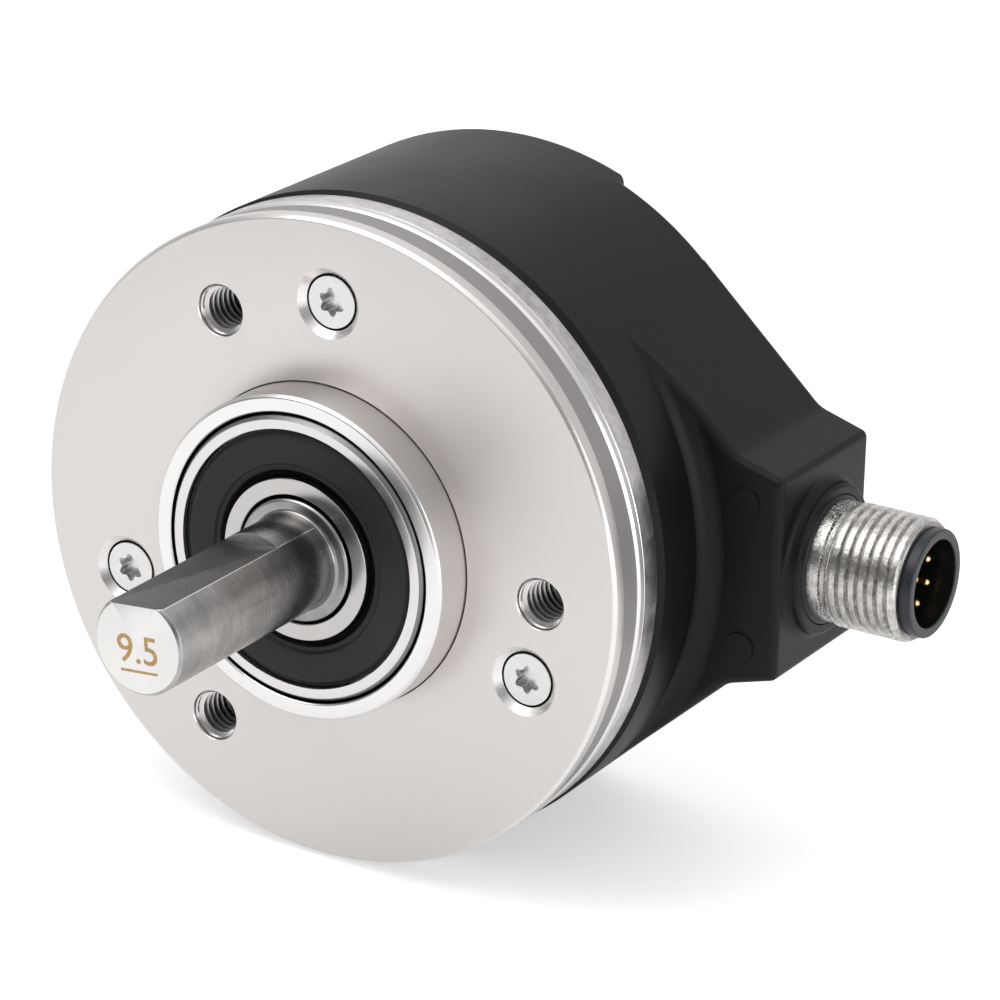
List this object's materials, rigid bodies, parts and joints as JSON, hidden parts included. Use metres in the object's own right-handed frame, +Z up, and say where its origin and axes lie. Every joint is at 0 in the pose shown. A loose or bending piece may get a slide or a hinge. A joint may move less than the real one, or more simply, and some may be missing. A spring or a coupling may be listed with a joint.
{
  "type": "incremental rotary encoder",
  "caption": "Solid-shaft incremental rotary encoder with a round servo flange, a black housing and a radial round threaded connector.",
  "frame": {"origin": "on the shaft's axis, in the plane of the flange's mounting face, at the root of the pilot", "axes": "-Y along the shaft towards its end, +X towards the connector, +Z up"},
  "size_m": [0.0836, 0.0644, 0.0638],
  "materials": {
    "machined_aluminium": "satin turned",
    "housing_plastic": "satin moulded",
    "bearing_steel": "ground",
    "shaft_steel": "turned",
    "spring_steel": "oiled",
    "screw_steel": "zinc plated",
    "seal_rubber": "moulded",
    "cage_plastic": "moulded",
    "disc_glass": "clear",
    "holder_plastic": "moulded",
    "board_green": "solder mask",
    "pillar_brass": "turned",
    "chip_black": "moulded",
    "capacitor_tan": "fired",
    "header_white": "moulded",
    "ribbon_grey": "flexible",
    "nickel": "nickel plated",
    "insert_plastic": "moulded",
    "gold": "gold plated"
  },
  "bodies": {
    "stator": {"board_capacitors": "capacitor_tan", "board_header": "header_white", "board_pillars": "pillar_brass", "board_screws": "screw_steel", "bore_snap_ring": "spring_steel", "circuit_board": "board_green", "connector_board": "board_green", "connector_insert": "insert_plastic", "connector_lock_nut": "nickel", "connector_seal": "seal_rubber", "connector_shell": "nickel", "contact_pins": "gold", "cover_screws": "screw_steel", "emitter_holder": "holder_plastic", "emitter_lead": "ribbon_grey", "emitter_lens": "disc_glass", "flange": "machined_aluminium", "flange_o_ring": "seal_rubber", "front_bearing_front_seal": "seal_rubber", "front_bearing_outer_ring": "bearing_steel", "front_bearing_rear_seal": "seal_rubber", "holder_screws": "screw_steel", "housing": "housing_plastic", "light_emitter": "holder_plastic", "light_sensor": "chip_black", "line_driver_chip": "chip_black", "processor_chip": "chip_black", "rear_bearing_front_seal": "seal_rubber", "rear_bearing_outer_ring": "bearing_steel", "rear_bearing_rear_seal": "seal_rubber", "reticle_plate": "disc_glass", "ribbon_lead": "ribbon_grey", "wave_spring": "spring_steel"},
    "rotor": {"shaft": "shaft_steel", "front_bearing_inner_ring": "bearing_steel", "rear_bearing_inner_ring": "bearing_steel", "bearing_spacer": "bearing_steel", "shaft_snap_ring": "spring_steel", "disc_hub": "machined_aluminium", "hub_grub_screws": "screw_steel", "code_disc": "disc_glass", "disc_clamp_ring": "machined_aluminium", "disc_clamp_screws": "screw_steel"},
    "front_ball_set": {"front_bearing_balls": "bearing_steel", "front_bearing_cage": "cage_plastic"},
    "rear_ball_set": {"rear_bearing_balls": "bearing_steel", "rear_bearing_cage": "cage_plastic"}
  },
  "joints": [
    {"name": "shaft_spin", "type": "hinge", "parent": "stator", "child": "rotor", "pos_m": [0, 0, 0], "axis": [0, -1, 0], "continuous": true},
    {"name": "front_balls_spin", "type": "hinge", "parent": "stator", "child": "front_ball_set", "pos_m": [0, 0, 0], "axis": [0, -1, 0], "continuous": true},
    {"name": "rear_balls_spin", "type": "hinge", "parent": "stator", "child": "rear_ball_set", "pos_m": [0, 0, 0], "axis": [0, -1, 0], "continuous": true}
  ],
  "couplings": [
    {"joint": "front_balls_spin", "follows": "shaft_spin", "ratio": 0.381},
    {"joint": "rear_balls_spin", "follows": "shaft_spin", "ratio": 0.381}
  ]
}
